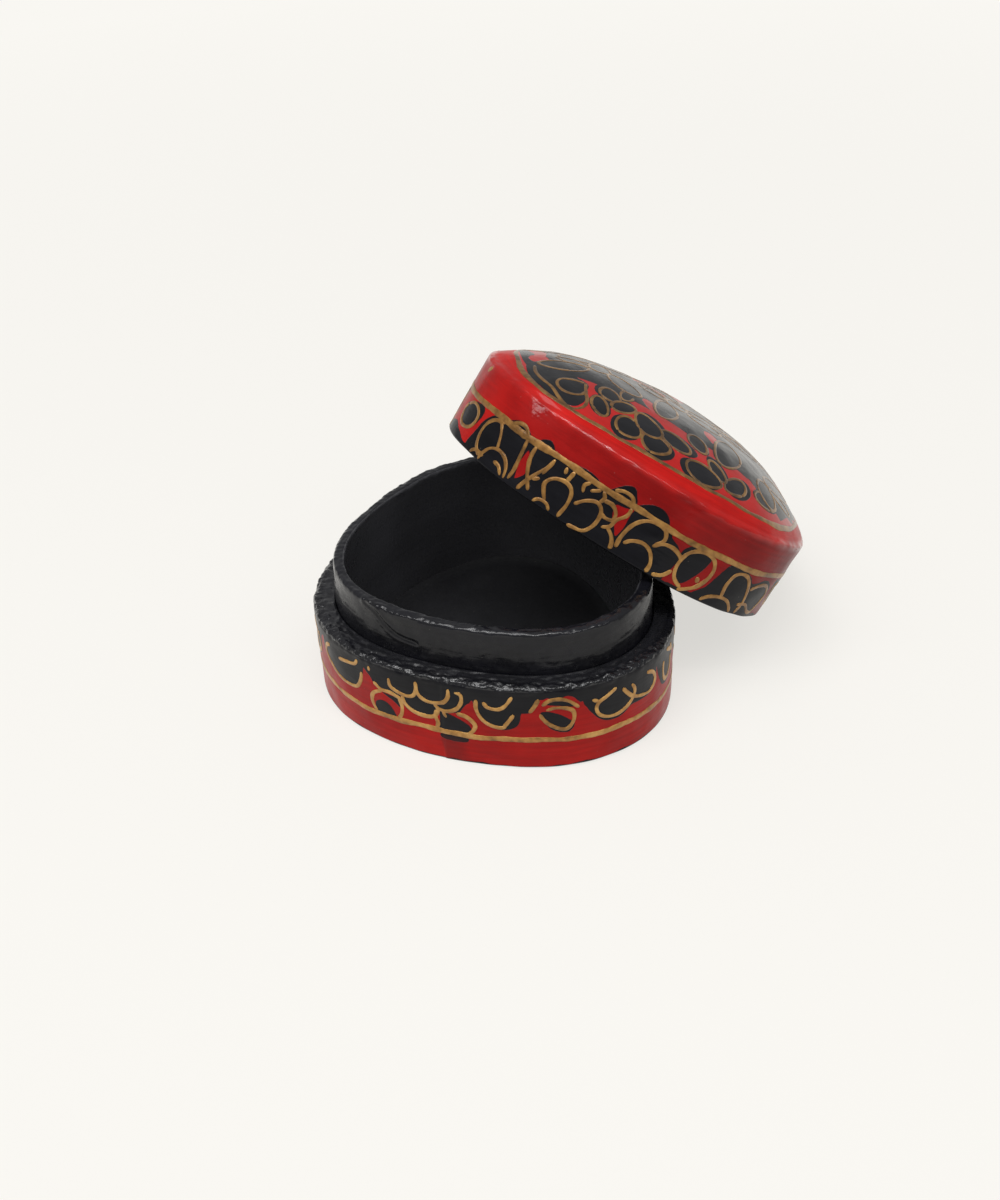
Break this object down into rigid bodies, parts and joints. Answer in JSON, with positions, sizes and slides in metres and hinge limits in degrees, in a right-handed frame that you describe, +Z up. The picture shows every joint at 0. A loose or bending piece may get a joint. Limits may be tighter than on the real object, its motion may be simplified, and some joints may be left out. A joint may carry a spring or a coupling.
{
  "type": "papier mache box",
  "caption": "Small lacquered box on a soft three-cornered oval plan, with an inner neck band and a domed lid that has been lifted off and leans on the neck.",
  "frame": {"origin": "middle of the base's plan, on the underside of the base", "axes": "+Z up, +Y along the longer way of the base's plan, +X to the side on which the lid leans"},
  "size_m": [0.1001, 0.0813, 0.0571],
  "materials": {
    "red_lacquer": "gloss",
    "black_lacquer": "gloss"
  },
  "bodies": {
    "base": {"base_floor": "red_lacquer", "base_wall": "red_lacquer", "base_neck": "black_lacquer"},
    "lid": {"lid_skirt": "red_lacquer", "lid_crown": "red_lacquer"}
  },
  "joints": [
    {"name": "lid_lift", "type": "slide", "parent": "base", "child": "lid", "axis": [0, 0, 1], "range_m": [0, 0.05]}
  ]
}
